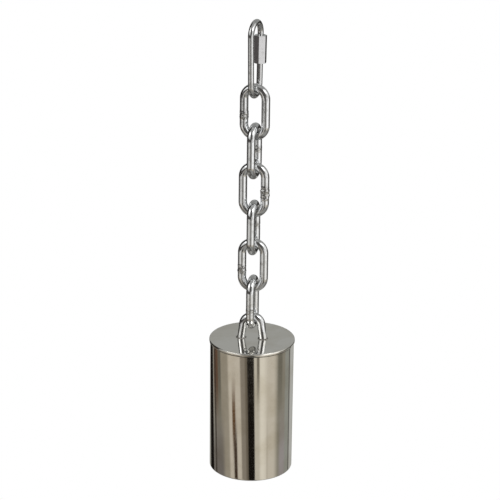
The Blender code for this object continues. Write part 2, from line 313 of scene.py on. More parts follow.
def weld_metal():
    """Arc-weld metal, left as it froze.

    Rippled and half bright, with brown and grey oxide in patches about 1 mm across.
    """
    finishes = bpy.context.scene.pipe_bell_finishes
    made, tree, place = metal("arc_weld_bead")
    burn = node(tree, NOISE, {"Vector": place, "Scale": 900.0, "Detail": 6.0})
    burn = node(tree, RANGE, {"Value": burn, "From Min": 0.50, "From Max": 0.70})
    rough = node(tree, RANGE, {"Value": burn, "To Min": 0.25, "To Max": 0.55})
    grain = node(tree, NOISE, {"Vector": place, "Scale": 2500.0, "Detail": 4.0})
    colours = (finishes.weld, finishes.weld_burnt)
    return surfaced(made, burn, colours, rough, grain, 0.6, 0.12 * MM)


def plain_steel():
    """Mild steel, drawn as rod and turned as the ball, with no plate.

    Grey and satin, with the tool's lines round it about 0.3 mm apart and light scale in patches.
    """
    finishes = bpy.context.scene.pipe_bell_finishes
    made, tree, place = metal("turned_mild_steel")
    scale = node(tree, NOISE, {"Vector": place, "Scale": 260.0, "Detail": 5.0})
    scale = node(tree, RANGE, {"Value": scale, "From Min": 0.4, "From Max": 0.7})
    rough = node(tree, RANGE, {"Value": scale, "To Min": 0.24, "To Max": 0.40})
    along = node(tree, "ShaderNodeMapping", {"Vector": place, "Scale": (60.0, 60.0, 3300.0)})
    lines = node(tree, NOISE, {"Vector": along, "Scale": 1.0, "Detail": 3.0})
    colours = (finishes.steel, finishes.steel_dark)
    return surfaced(made, scale, colours, rough, lines, 0.35, 0.04 * MM)


FINISHES = {
    "polished_nickel": ("polished_nickel_plate", polished_nickel),
    "bright_zinc": ("bright_zinc_plate", bright_zinc),
    "weld_metal": ("arc_weld_bead", weld_metal),
    "plain_steel": ("turned_mild_steel", plain_steel),
}


def finish_for(slot):
    """The material of one of the record's slots, made the first time it is asked for."""
    name, make = FINISHES[slot]
    return bpy.data.materials.get(name) or make()


# ---------------------------------------------------------------- geometry node trees


def node_tree(name, sizes):
    """A geometry node tree with one geometry in and out, a Finish, and the named sizes."""
    tree = bpy.data.node_groups.new(name, "GeometryNodeTree")
    tree.interface.new_socket("Geometry", in_out="OUTPUT", socket_type="NodeSocketGeometry")
    tree.interface.new_socket("Geometry", in_out="INPUT", socket_type="NodeSocketGeometry")
    tree.interface.new_socket("Finish", in_out="INPUT", socket_type="NodeSocketMaterial")
    for label, (kind, default) in sizes.items():
        socket = tree.interface.new_socket(label, in_out="INPUT", socket_type=f"NodeSocket{kind}")
        socket.default_value = default
    return tree, node(tree, "NodeGroupInput").outputs


def close_tree(tree, geometry, finish):
    """End a tree in smooth shading, Realize Instances and Set Material."""
    smooth = node(tree, "GeometryNodeSetShadeSmooth", {"Geometry": geometry})
    real = node(tree, "GeometryNodeRealizeInstances", {"Geometry": smooth})
    dressed = node(tree, "GeometryNodeSetMaterial", {"Geometry": real, "Material": finish})
    node(tree, "NodeGroupOutput", {"Geometry": dressed})
    return tree


def wire_tree():
    """Round wire along a path, with one butt weld, a thread at both ends and chamfered ends."""
    tree, given = node_tree("formed_wire", {
        "Wire": ("Float", 5.0 * MM), "Step": ("Float", WIRE_STEP), "Ring": ("Int", RING_STEPS),
        "Weld Centre": ("Vector", (0.0, 0.0, 0.0)), "Weld Reach": ("Float", 3.0 * MM),
        "Weld Raise": ("Float", 0.0), "Weld Grain": ("Float", 1.6 * MM),
        "Thread Length": ("Float", 0.0), "Thread Pitch": ("Float", 0.6 * MM),
        "Thread Depth": ("Float", 0.0), "End Chamfer": ("Float", 0.0), "Seed": ("Int", 0),
    })
    path = node(tree, "GeometryNodeResampleCurve", {
        "Curve": given["Geometry"], "Length": given["Step"],
    }, mode="LENGTH")
    place = node(tree, "GeometryNodeInputPosition")
    run = node(tree, "GeometryNodeSplineParameter").outputs["Length"]
    whole = node(tree, "GeometryNodeSplineLength")
    left = node(tree, MATH, {0: whole, 1: run}, operation="SUBTRACT")
    end = node(tree, MATH, {0: run, 1: left}, operation="MINIMUM")
    for name, value, kind in (
        ("spine", place, "FLOAT_VECTOR"), ("run", run, "FLOAT"), ("from_end", end, "FLOAT"),
    ):
        path = node(tree, "GeometryNodeStoreNamedAttribute", {
            "Geometry": path, "Name": name, "Value": value,
        }, data_type=kind)
    radius = node(tree, MATH, {0: given["Wire"], 1: 0.5}, operation="MULTIPLY")
    ring = node(tree, "GeometryNodeCurvePrimitiveCircle", {
        "Resolution": given["Ring"], "Radius": radius,
    })
    turn = node(tree, "GeometryNodeSplineParameter")
    ring = node(tree, "GeometryNodeStoreNamedAttribute", {
        "Geometry": ring, "Name": "turn", "Value": turn,
    }, data_type="FLOAT")
    swept = node(tree, "GeometryNodeCurveToMesh", {
        "Curve": path, "Profile Curve": ring, "Fill Caps": True,
    })

    kept = {
        name: node(tree, "GeometryNodeInputNamedAttribute", {"Name": name}, data_type=kind)
        for name, kind in (
            ("spine", "FLOAT_VECTOR"), ("run", "FLOAT"), ("from_end", "FLOAT"), ("turn", "FLOAT"),
        )
    }
    out = node(tree, VECTOR, {0: place, 1: kept["spine"]}, operation="SUBTRACT")
    out = node(tree, VECTOR, {0: out}, operation="NORMALIZE")

    # Weld: full at its centre, gone at its reach, broken up into lumps.
    away = node(tree, VECTOR, {
        0: kept["spine"], 1: given["Weld Centre"],
    }, operation="DISTANCE").outputs["Value"]
    full = node(tree, MATH, {0: given["Weld Reach"], 1: 0.35}, operation="MULTIPLY")
    weld = node(tree, RANGE, {
        "Value": away, "From Min": full, "From Max": given["Weld Reach"], "To Min": 1.0, "To Max": 0.0,
    }, interpolation_type="SMOOTHSTEP")
    fine = node(tree, MATH, {0: 1.0, 1: given["Weld Grain"]}, operation="DIVIDE")
    lumps = node(tree, NOISE, {
        "Vector": place, "W": given["Seed"], "Scale": fine, "Detail": 2.5, "Roughness": 0.55,
    }, noise_dimensions="4D")
    lumps = node(tree, RANGE, {
        "Value": lumps, "From Min": 0.3, "From Max": 0.7, "To Min": -0.5, "To Max": 1.0,
    })
    lumps = node(tree, MATH, {0: lumps, 1: weld}, operation="MULTIPLY")
    raised = node(tree, MATH, {0: lumps, 1: given["Weld Raise"]}, operation="MULTIPLY")

    # Thread: a vee that climbs one pitch in each turn.
    turns = node(tree, MATH, {0: kept["run"], 1: given["Thread Pitch"]}, operation="DIVIDE")
    turns = node(tree, MATH, {0: turns, 1: kept["turn"]}, operation="SUBTRACT")
    vee = node(tree, MATH, {0: turns, 1: 0.5}, operation="PINGPONG")
    vee = node(tree, MATH, {0: vee, 1: 2.0}, operation="MULTIPLY")
    cut = node(tree, MATH, {0: vee, 1: given["Thread Depth"]}, operation="MULTIPLY")
    runout = node(tree, MATH, {
        0: given["Thread Length"], 1: given["Thread Pitch"],
    }, operation="SUBTRACT")
    threaded = node(tree, RANGE, {
        "Value": kept["from_end"], "From Min": runout, "From Max": given["Thread Length"],
        "To Min": 1.0, "To Max": 0.0,
    })
    cut = node(tree, MATH, {0: cut, 1: threaded}, operation="MULTIPLY")
    bevel = node(tree, MATH, {0: given["End Chamfer"], 1: kept["from_end"]}, operation="SUBTRACT")
    bevel = node(tree, MATH, {0: bevel, 1: 0.0}, operation="MAXIMUM")
    cut = node(tree, MATH, {0: cut, 1: bevel}, operation="MAXIMUM")

    move = node(tree, MATH, {0: raised, 1: cut}, operation="SUBTRACT")
    offset = node(tree, VECTOR, {0: out, "Scale": move}, operation="SCALE")
    marked = node(tree, "GeometryNodeStoreNamedAttribute", {
        "Geometry": swept, "Name": "weld", "Value": weld,
    }, data_type="FLOAT")
    shaped = node(tree, "GeometryNodeSetPosition", {"Geometry": marked, "Offset": offset})
    for name in ("spine", "run", "from_end", "turn"):
        shaped = node(tree, "GeometryNodeRemoveAttribute", {"Geometry": shaped, "Name": name})
    return close_tree(tree, shaped, given["Finish"])


def bead_tree():
    """Ripples and lumps on a ring of weld, with small drops of spatter stuck round it."""
    tree, given = node_tree("weld_bead", {
        "Centre": ("Vector", (0.0, 0.0, 0.0)), "Ring Radius": ("Float", 3.0 * MM),
        "Ripples": ("Int", 24), "Ripple": ("Float", 0.12), "Unevenness": ("Float", 0.25),
        "Lump Size": ("Float", 1.5 * MM), "Drops": ("Float", 0.0), "Drop Size": ("Float", 0.35 * MM),
        "Seed": ("Int", 0),
    })
    place = node(tree, "GeometryNodeInputPosition")
    rel = node(tree, VECTOR, {0: place, 1: given["Centre"]}, operation="SUBTRACT")
    flat = node(tree, VECTOR, {0: rel, 1: (1.0, 1.0, 0.0)}, operation="MULTIPLY")
    flat = node(tree, VECTOR, {0: flat}, operation="NORMALIZE")
    corner = node(tree, VECTOR, {0: flat, "Scale": given["Ring Radius"]}, operation="SCALE")
    out = node(tree, VECTOR, {0: rel, 1: corner}, operation="SUBTRACT")
    split = node(tree, "ShaderNodeSeparateXYZ", {0: rel}).outputs
    angle = node(tree, MATH, {0: split["Y"], 1: split["X"]}, operation="ARCTAN2")
    wave = node(tree, MATH, {0: angle, 1: given["Ripples"]}, operation="MULTIPLY")
    wave = node(tree, MATH, {0: wave}, operation="SINE")
    wave = node(tree, MATH, {0: wave, 1: given["Ripple"]}, operation="MULTIPLY")
    fine = node(tree, MATH, {0: 1.0, 1: given["Lump Size"]}, operation="DIVIDE")
    lumps = node(tree, NOISE, {
        "Vector": place, "W": given["Seed"], "Scale": fine, "Detail": 2.0,
    }, noise_dimensions="4D")
    lumps = node(tree, RANGE, {
        "Value": lumps, "From Min": 0.25, "From Max": 0.75, "To Min": -1.0, "To Max": 0.0,
    })
    grow = node(tree, MATH, {0: lumps, 1: given["Unevenness"], 2: wave}, operation="MULTIPLY_ADD")
    grow = node(tree, MATH, {0: grow, 1: 0.0}, operation="MINIMUM")
    offset = node(tree, VECTOR, {0: out, "Scale": grow}, operation="SCALE")
    bead = node(tree, "GeometryNodeSetPosition", {"Geometry": given["Geometry"], "Offset": offset})

    points = node(tree, "GeometryNodeDistributePointsOnFaces", {
        "Mesh": bead, "Density": given["Drops"], "Seed": given["Seed"],
    }).outputs["Points"]
    size = node(tree, "FunctionNodeRandomValue", {
        "Min": 0.45, "Max": 1.0, "Seed": given["Seed"],
    }, data_type="FLOAT").outputs["Value"]
    size = node(tree, MATH, {0: size, 1: given["Drop Size"]}, operation="MULTIPLY")
    drop = node(tree, "GeometryNodeMeshIcoSphere", {"Radius": 1.0, "Subdivisions": 2})
    drops = node(tree, "GeometryNodeInstanceOnPoints", {
        "Points": points, "Instance": drop, "Scale": size,
    })
    joined = feed(tree, node(tree, "GeometryNodeJoinGeometry", {"Geometry": bead}), {"Geometry": drops})
    return close_tree(tree, joined, given["Finish"])


def tree_named(name, make):
    """A tree made the first time it is asked for."""
    return bpy.data.node_groups.get(name) or make()


# ---------------------------------------------------------------- meshes


def outward(mesh):
    """Turn a closed mesh's faces to point out, and leave its sharp edges sharp."""
    bm = bmesh.new()
    bm.from_mesh(mesh)
    bmesh.ops.remove_doubles(bm, verts=bm.verts, dist=MERGE)
    bmesh.ops.recalc_face_normals(bm, faces=bm.faces)
    bm.to_mesh(mesh)
    bm.free()
    mesh.shade_smooth()
    mesh.set_sharp_from_angle(angle=SMOOTH_ANGLE)
    return mesh


def add_piece(name, mesh, body, slot, *nodes):
    """Link a finished mesh as a piece that rides on a body and stands for its CAD nodes."""
    if not mesh.polygons:
        raise RuntimeError(f"{name} came out with no faces")
    piece = bpy.data.objects.new(name, mesh)
    bpy.context.scene.collection.objects.link(piece)
    if not mesh.materials:
        mesh.materials.append(finish_for(slot))
    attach(piece, body)
    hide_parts(*nodes)
    return piece


def grown(name, data, tree, slot, values):
    """Run a node tree on a curve or mesh and return the result as a plain mesh."""
    carrier = bpy.data.objects.new(f"{name}_carrier", data)
    bpy.context.scene.collection.objects.link(carrier)
    modifier = carrier.modifiers.new("tree", "NODES")
    modifier.node_group = tree
    values = {"Finish": finish_for(slot), **values}
    for item in tree.interface.items_tree:
        if item.item_type == "SOCKET" and item.in_out == "INPUT" and item.name in values:
            modifier[item.identifier] = values[item.name]
    graph = bpy.context.evaluated_depsgraph_get()
    mesh = bpy.data.meshes.new_from_object(
        carrier.evaluated_get(graph), preserve_all_data_layers=True, depsgraph=graph
    )
    carrier.modifiers.remove(modifier)
    bpy.data.objects.remove(carrier)
    mesh.name = name
    return outward(mesh)


def path_curve(name, points, closed):
    """A poly curve through points."""
    curve = bpy.data.curves.new(name, "CURVE")
    curve.dimensions = "3D"
    spline = curve.splines.new("POLY")
    spline.points.add(len(points) - 1)
    for point, place in zip(spline.points, points):
        point.co = (*place, 1.0)
    spline.use_cyclic_u = closed
    return curve


def arc(radius, start, end, steps, centre=(0.0, 0.0)):
    """Points of an arc in a plane, from one angle in degrees to another."""
    angles = [math.radians(start + (end - start) * i / steps) for i in range(steps + 1)]
    return [(centre[0] + radius * math.cos(a), centre[1] + radius * math.sin(a)) for a in angles]


def stood(points, turn):
    """Plane points (x, height) stood up and turned about +Z."""
    angle = math.radians(turn)
    return [Vector((x * math.cos(angle), x * math.sin(angle), z)) for x, z in points]


def rounded(corners):
    """A profile from (radius, height, rounding) corners, each rounded by an arc of its own."""
    points = []
    for i, (r, z, size) in enumerate(corners):
        if not size:
            points.append((r, z))
            continue
        here = Vector((r, z))
        before = (Vector(corners[i - 1][:2]) - here).normalized()
        after = (Vector(corners[(i + 1) % len(corners)][:2]) - here).normalized()
        centre = here + (before + after) * size
        for step in range(CORNER_STEPS + 1):
            angle = math.pi / 2 * step / CORNER_STEPS
            points.append(tuple(centre - after * size * math.cos(angle) - before * size * math.sin(angle)))
    return points


def spun(name, profile, steps, centre=(0.0, 0.0, 0.0)):
    """A closed profile of (radius, height) spun about an upright axis through the centre."""
    bm = bmesh.new()
    verts = [bm.verts.new((r, 0.0, z)) for r, z in profile]
    edges = [bm.edges.new((a, b)) for a, b in zip(verts, verts[1:] + verts[:1])]
    bmesh.ops.spin(bm, geom=verts + edges, cent=(0, 0, 0), axis=(0, 0, 1), angle=math.tau, steps=steps)
    bmesh.ops.translate(bm, vec=centre, verts=bm.verts)
    mesh = bpy.data.meshes.new(name)
    bm.to_mesh(mesh)
    bm.free()
    return outward(mesh)


def drilled(mesh, holes, radius, depth):
    """The mesh with a round hole cut at each place."""
    target = bpy.data.objects.new("drilled", mesh)
    bpy.context.scene.collection.objects.link(target)
    drills = []
    for place in holes:
        bm = bmesh.new()
        bmesh.ops.create_cone(
            bm, cap_ends=True, segments=DRILL_STEPS, radius1=radius, radius2=radius, depth=depth,
            matrix=place,
        )
        tool = bpy.data.meshes.new("drill")
        bm.to_mesh(tool)
        bm.free()
        drill = bpy.data.objects.new("drill", tool)
        bpy.context.scene.collection.objects.link(drill)
        drills.append(drill)
        cut = target.modifiers.new("hole", "BOOLEAN")
        cut.operation = "DIFFERENCE"
        cut.solver = "EXACT"
        cut.object = drill
    graph = bpy.context.evaluated_depsgraph_get()
    result = bpy.data.meshes.new_from_object(target.evaluated_get(graph), depsgraph=graph)
    result.name = mesh.name
    for used in (target, *drills):
        bpy.data.objects.remove(used)
    return outward(result)


# ---------------------------------------------------------------- pieces


def quick_leg():
    """Tilt of the quick link's legs in degrees, and the two bows' centre heights."""
    wire = bpy.context.scene.pipe_bell_sizes.quick_wire
    upper = QUICK_HIGH.z - wire / 2 - QUICK_TOP_RADIUS
    lower = QUICK_LOW.z + wire / 2 + QUICK_BOTTOM_RADIUS
    tilt = math.asin((QUICK_TOP_RADIUS - QUICK_BOTTOM_RADIUS) / (upper - lower))
    return tilt, upper, lower


def quick_leg_x(z):
    """Distance of the threaded leg's centre from the link's middle at a height."""
    tilt, upper, _ = quick_leg()
    start_x = QUICK_TOP_RADIUS * math.cos(tilt)
    start_z = upper - QUICK_TOP_RADIUS * math.sin(tilt)
    return start_x - (start_z - z) * math.tan(tilt)


def build_quick_link():
    """The quick link's body: one bent wire with a threaded stub on each side of its jaw."""
    sizes = bpy.context.scene.pipe_bell_sizes
    tilt, upper, lower = quick_leg()
    lean = math.degrees(tilt)
    top = arc(QUICK_TOP_RADIUS, -lean, 180 + lean, ARC_STEPS, (0.0, upper))
    bottom = arc(QUICK_BOTTOM_RADIUS, 180 + lean, 360 - lean, ARC_STEPS, (0.0, lower))
    path = [(quick_leg_x(JAW_TOP), JAW_TOP)] + top + bottom + [(quick_leg_x(JAW_BOTTOM), JAW_BOTTOM)]
    mesh = grown(
        "quick_link", path_curve("quick_link_path", stood(path, QUICK_TURN), closed=False),
        tree_named("formed_wire", wire_tree), "bright_zinc", {
            "Wire": sizes.quick_wire, "Step": THREAD_STEP, "Thread Length": STUB_THREAD,
            "Thread Pitch": sizes.thread_pitch, "Thread Depth": sizes.thread_depth,
            "End Chamfer": STUB_CHAMFER, "Weld Reach": 0.0,
        },
    )
    return add_piece("quick_link", mesh, "quick_link", "bright_zinc", "quick_link_body")


def sleeve_outline():
    """The hexagon's outline as points, its corners eased by a small radius."""
    apothem = bpy.context.scene.pipe_bell_sizes.sleeve_flats / 2
    reach = (apothem - SLEEVE_EASE) / math.cos(math.pi / 6)

    def eased(corner, off):
        """A point on the easing of a corner, at an angle off the corner's own; both in degrees."""
        middle, facing = math.radians(corner), math.radians(corner + off)
        centre = Vector((math.cos(middle), math.sin(middle))) * reach
        return centre + Vector((math.cos(facing), math.sin(facing))) * SLEEVE_EASE

    points = []
    for corner in range(0, 360, 60):
        points += [eased(corner, off) for off in (-30, -15, 0, 15, 30)]
        start, end = points[-1], eased(corner + 60, -30)
        points += [start.lerp(end, t / HEXAGON_STEPS) for t in range(1, HEXAGON_STEPS)]
    return points


def build_sleeve():
    """The hexagon sleeve: chamfered at 30 degrees at both ends, with a threaded bore."""
    sizes = bpy.context.scene.pipe_bell_sizes
    tilt, _, _ = quick_leg()
    half, pitch = sizes.sleeve_length / 2, sizes.thread_pitch
    middle_z = SLEEVE_TOP - half
    face = sizes.sleeve_flats / 2 * SLEEVE_FACE  # radius of each end's flat ring
    bore = sizes.quick_wire / 2 + GAP
    steps = int(2 * half / pitch) * GROOVE_STEPS
    bm = bmesh.new()
    grid = []
    for point in sleeve_outline():
        radius, angle = point.length, math.atan2(point.y, point.x)
        side = half - max(0.0, radius - face) * math.tan(SLEEVE_CHAMFER)
        end = [(face - HOLD / 2, half), (face, half), (radius, side), (radius, side - HOLD / 3)]
        column = [(r, -z) for r, z in end]
        column += [(radius, side * (t / 3 - 1)) for t in range(1, 6)]
        column += end[::-1] + [(bore + COUNTERSINK, half)]
        for step in range(steps + 1):
            z = (half - COUNTERSINK) * (1 - 2 * step / steps)
            vee = abs((z / pitch - angle / math.tau) % 1.0 * 2 - 1)
            column.append((bore + vee * GROOVE, z))
        column.append((bore + COUNTERSINK, -half))
        grid.append([bm.verts.new((r * math.cos(angle), r * math.sin(angle), z)) for r, z in column])
    for here, there in zip(grid, grid[1:] + grid[:1]):
        for corners in zip(here, there, there[1:] + there[:1], here[1:] + here[:1]):
            bm.faces.new(corners)
    turn = math.radians(QUICK_TURN)
    place = (
        Matrix.Rotation(turn, 4, "Z")
        @ Matrix.Translation((quick_leg_x(middle_z), 0.0, middle_z))
        @ Matrix.Rotation(tilt, 4, "Y")
        @ Matrix.Rotation(math.radians(SLEEVE_CORNER) - turn, 4, "Z")
    )
    bmesh.ops.transform(bm, matrix=place, verts=bm.verts)
    mesh = bpy.data.meshes.new("hexagon_sleeve")
    bm.to_mesh(mesh)
    bm.free()
    outward(mesh)
    mesh.set_sharp_from_angle(angle=SLEEVE_SMOOTH_ANGLE)
    return add_piece("hexagon_sleeve", mesh, "sleeve", "bright_zinc", "quick_link_sleeve")


def leg_spread(top, bottom, upper_bow, lower_bow):
    """Angle by which a link's straight legs spread out towards its lower bow."""
    return math.asin((lower_bow - upper_bow) / ((top - upper_bow) - (bottom + lower_bow)))


def build_link(node_name, body, turn, side, weld_height, reach, raised, seed):
    """One welded link at its place in the frame."""
    sizes = bpy.context.scene.pipe_bell_sizes
    low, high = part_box(node_name)
    bow = (sizes.link_width - sizes.chain_wire) / 2
    upper_bow, lower_bow = HANGER_BOWS if node_name == "hanger_link" else (bow, bow)
    top, bottom = high.z - sizes.chain_wire / 2, low.z + sizes.chain_wire / 2
    spread = math.degrees(leg_spread(top, bottom, upper_bow, lower_bow))
    upper = arc(upper_bow, spread, 180 - spread, ARC_STEPS, (0.0, top - upper_bow))
    lower = arc(lower_bow, 180 - spread, 360 + spread, ARC_STEPS, (0.0, bottom + lower_bow))
    path = path_curve(f"{node_name}_path", stood(upper + lower, turn), closed=True)
    centre = stood([(side * bow, (top + bottom) / 2 + weld_height * MM)], turn)[0]
    mesh = grown(f"{node_name}_wire", path, tree_named("formed_wire", wire_tree), "bright_zinc", {
        "Wire": sizes.chain_wire, "Step": WIRE_STEP, "Weld Centre": centre,
        "Weld Reach": reach * MM, "Weld Raise": raised * MM, "Seed": seed,
    })
    return add_piece(f"{node_name}_wire", mesh, body, "bright_zinc", node_name)


def hanger_legs():
    """Spread of the hanger's legs as an angle, and the height of its wire at the crown."""
    wire = bpy.context.scene.pipe_bell_sizes.chain_wire
    low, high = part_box("hanger_link")
    top, bottom = high.z - wire / 2, low.z + wire / 2
    return leg_spread(top, bottom, *HANGER_BOWS), top


def hanger_foot(side, z):
    """Centre of one hanger leg at a height."""
    spread, top = hanger_legs()
    start = top - HANGER_BOWS[0] * (1 - math.sin(spread))
    reach = HANGER_BOWS[0] * math.cos(spread) + (start - z) * math.tan(spread)
    return stood([(side * reach, z)], HANGER_TURN)[0]


def build_plate():
    """The top plate, with its edge rounded and a hole for each leg of the hanger."""
    sizes = bpy.context.scene.pipe_bell_sizes
    edge = rounded([
        (PLATE_RADIUS, PLATE_UNDER, sizes.plate_round), (PLATE_RADIUS, PLATE_TOP, sizes.plate_round),
        (0.0, PLATE_TOP, 0), (0.0, PLATE_UNDER, 0),
    ])
    inset = PLATE_RADIUS - sizes.plate_round - HOLD
    profile = edge[:-2] + [(inset, PLATE_TOP), (0.0, PLATE_TOP), (0.0, PLATE_UNDER), (inset, PLATE_UNDER)]
    mesh = spun("plate", profile, TURN_STEPS)
    spread, _ = hanger_legs()
    holes = [
        Matrix.Translation(hanger_foot(side, (PLATE_TOP + PLATE_UNDER) / 2))
        @ Matrix.Rotation(math.radians(HANGER_TURN), 4, "Z")
        @ Matrix.Rotation(-side * spread, 4, "Y")
        for side in (-1, 1)
    ]
    mesh = drilled(mesh, holes, sizes.chain_wire / 2 + GAP, 6 * (PLATE_TOP - PLATE_UNDER))
    return add_piece("plate", mesh, "bell", "polished_nickel", "top_plate")


def build_tube():
    """The bell's tube, sawn square and eased at the rim."""
    sizes = bpy.context.scene.pipe_bell_sizes
    inner, top, rim = TUBE_RADIUS - sizes.tube_wall, TUBE_HIGH.z, TUBE_LOW.z
    edge = rounded([
        (inner, rim, sizes.rim_round), (TUBE_RADIUS, rim, sizes.rim_round),
        (TUBE_RADIUS, top, 0), (inner, top, 0),
    ])
    rows = 12  # rings up each face of the wall, which keep its quads short
    low = rim + sizes.rim_round + HOLD
    up = [low + (top - HOLD - low) * t / rows for t in range(rows + 1)]
    profile = edge[:-2] + [(TUBE_RADIUS, z) for z in up] + edge[-2:] + [(inner, z) for z in reversed(up)]
    return add_piece("tube", spun("tube", profile, TURN_STEPS), "bell", "polished_nickel", "bell_tube")


def bead_profile(width, height):
    """A fillet's section as offsets from its corner: two flat legs and a full face."""
    angles = [math.pi / 2 * i / CORNER_STEPS for i in range(CORNER_STEPS + 1)]
    return [(0.0, 0.0)] + [(width * math.cos(a), height * math.sin(a)) for a in angles]


def build_welds():
    """The two beads round the hanger's legs, and the fillet that joins plate and tube inside."""
    sizes = bpy.context.scene.pipe_bell_sizes
    tree = tree_named("weld_bead", bead_tree)
    ring = sizes.chain_wire / 2 - BEAD_BITE
    for side, word, seed, uneven, drops in ((-1, "left", 3, 0.30, 0.10), (1, "right", 8, 0.45, 0.30)):
        centre = hanger_foot(side, PLATE_TOP) - Vector((0.0, 0.0, BEAD_BITE))
        profile = bead_profile(sizes.bead_width + BEAD_BITE, sizes.bead_height + BEAD_BITE)
        section = [(ring + r, z) for r, z in profile]
        raw = spun(f"hanger_bead_{word}_raw", section, BEAD_STEPS, centre)
        mesh = grown(f"hanger_bead_{word}", raw, tree, "weld_metal", {
            "Centre": centre, "Ring Radius": ring, "Ripples": 17, "Ripple": 0.10,
            "Unevenness": uneven, "Lump Size": 1.1 * MM, "Drops": drops / MM**2,
            "Drop Size": 0.30 * MM, "Seed": seed,
        })
        add_piece(f"hanger_bead_{word}", mesh, "bell", "weld_metal", f"hanger_weld_{word}")
    wall = SEAM_HIGH.x
    section = [(wall - r, SEAM_HIGH.z - z) for r, z in bead_profile(sizes.seam_leg, sizes.seam_leg)]
    raw = spun("seam_fillet_raw", section, SEAM_STEPS)
    mesh = grown("seam_fillet", raw, tree, "weld_metal", {
        "Centre": Vector((0.0, 0.0, SEAM_HIGH.z)), "Ring Radius": wall, "Ripples": 112,
        "Ripple": 0.06, "Unevenness": 0.18, "Lump Size": 4.0 * MM, "Seed": 5,
    })
    add_piece("seam_fillet", mesh, "bell", "weld_metal", "seam_weld")


def eye_path():
    """Centre line of the clapper's rod: a straight shank that bends into an almost closed eye."""
    sizes = bpy.context.scene.pipe_bell_sizes
    eye = ROD_HIGH.z - sizes.rod_wire / 2 - EYE_RADIUS
    ring = arc(EYE_RADIUS, EYE_START, EYE_END, 2 * ARC_STEPS, (0.0, eye))
    start = Vector((0.0, eye - EYE_STEM))
    end = Vector(ring[0])
    heading = Vector((math.sin(math.radians(-EYE_START)), math.cos(math.radians(EYE_START))))
    reach = (end - start).length * EYE_BEND
    handle_a, handle_b = start + Vector((0.0, reach)), end - heading * reach
    bend = []
    for step in range(1, ARC_STEPS):
        t = step / ARC_STEPS
        bend.append(tuple(
            start * (1 - t) ** 3 + handle_a * 3 * t * (1 - t) ** 2 + handle_b * 3 * t * t * (1 - t)
            + end * t**3
        ))
    return [(0.0, ROD_LOW.z), tuple(start)] + bend + ring


def build_clapper():
    """The rod with its eye, and the ball drilled and peened on its end."""
    sizes = bpy.context.scene.pipe_bell_sizes
    mesh = grown(
        "clapper_shank", path_curve("shank_path", stood(eye_path(), HANGER_TURN), closed=False),
        tree_named("formed_wire", wire_tree), "plain_steel", {
            "Wire": sizes.rod_wire, "Step": ROD_STEP, "End Chamfer": ROD_CHAMFER, "Weld Reach": 0.0,
        },
    )
    add_piece("clapper_shank", mesh, "clapper", "plain_steel", "clapper_rod")

    radius = (BALL_HIGH.x - BALL_LOW.x) / 2
    middle = BALL_LOW.z + radius
    socket = sizes.rod_wire / 2 + GAP
    mouth = math.degrees(math.acos((socket + BALL_LIP) / radius))
    skin = arc(radius, mouth, -90, BALL_STEPS, (0.0, middle))
    skin[-1] = (0.0, middle - radius)
    floor = ROD_LOW.z - GAP
    lip = (socket, skin[0][1] - BALL_LIP)
    mesh = spun("clapper_knob", skin + [(0.0, floor), (socket, floor), lip], 2 * BALL_STEPS)
    add_piece("clapper_knob", mesh, "clapper", "plain_steel", "clapper_ball")


# ---------------------------------------------------------------- studio

# Cards and gaps round the bell. Bearing is in degrees from the camera's side, plus to the right;
# height in degrees above the horizon. Each is (what it is, bearing, half width, softness,
# lowest, highest, softness in height, colour), and then its brightness if that isn't 1.
LOW_CARDS = (
    ("front half of the room", 0, 105, 40, -90, 0, 3, "#7f7b70"),
    ("left warm wall", -76, 12, 10, -40, -20, 1, "#8d8679"),
    ("left fill card", -40, 22, 6, -40, -20, 1, "#b4ac9f"),
    ("left card's stand", -50.0, 3.4, 3, -26.2, -24.5, 0.6, "#543a20"),
    ("foot of that stand", -47, 3.4, 3, -40, -25.7, 0.5, "#33251a"),
    ("left card's shade", -21, 6, 4, -40, -20, 1, "#7d756a"),
    ("dark gap beside the lens", -10, 4, 4, -40, -20, 1, "#625a4f"),
    ("right fill card", 28, 20, 9, -40, -20, 1, "#b4aea1"),
    ("bright core of the right card", 38, 10, 9, -40, -20, 1, "#cdc7ba"),
    ("gap in the right card", 20, 2, 3, -24.5, -20, 0.5, "#6a6459"),
    ("lens and its operator", -0.5, 8.0, 2.4, -60, -22.9, 0.3, "#14110e"),
    ("right card's stand", 47, 2, 3, -40, -25.4, 0.6, "#746e5f"),
    ("right outer card", 57, 6, 20, -40, -20, 1, "#b6afa2"),
    ("right upper shade", 87, 4, 8, -24.6, -20, 0.8, "#67645a"),
    ("right rosy wall", 104, 12, 14, -40, -25.6, 1, "#8c8787"),
    ("right grey wall", 116, 5, 8, -40, -20, 1, "#868781"),
    ("right door edge", 129, 1.5, 3, -40, -20, 1, "#565654"),
    ("right back card", 146, 7, 8, -40, -20, 1, "#a7a7a4"),
    ("left rosy wall", -108, 16, 14, -40, -25.6, 1, "#68635f"),
    ("left upper shade", -97, 3, 5, -24.8, -20, 0.8, "#5d5a50"),
    ("left brown curtain", -114, 9, 4, -24.9, -20, 0.8, "#5a4537"),
    ("left curtain's edge", -118, 1.5, 3, -60, -20, 1, "#37322b"),
    ("left black flag", -143, 11, 3, -60, -20, 1, "#151210"),
    ("floor at the left", -100, 50, 20, -86, -32, 3, "#5c5a57"),
    ("floor at the right", 110, 46, 20, -86, -32, 3, "#6c6a67"),
    ("floor in front", 0, 45, 25, -86, -32, 3, "#8c8c89"),
    ("dark foot below", 0, 200, 1, -90, -66, 8, "#3f3e3c"),
)
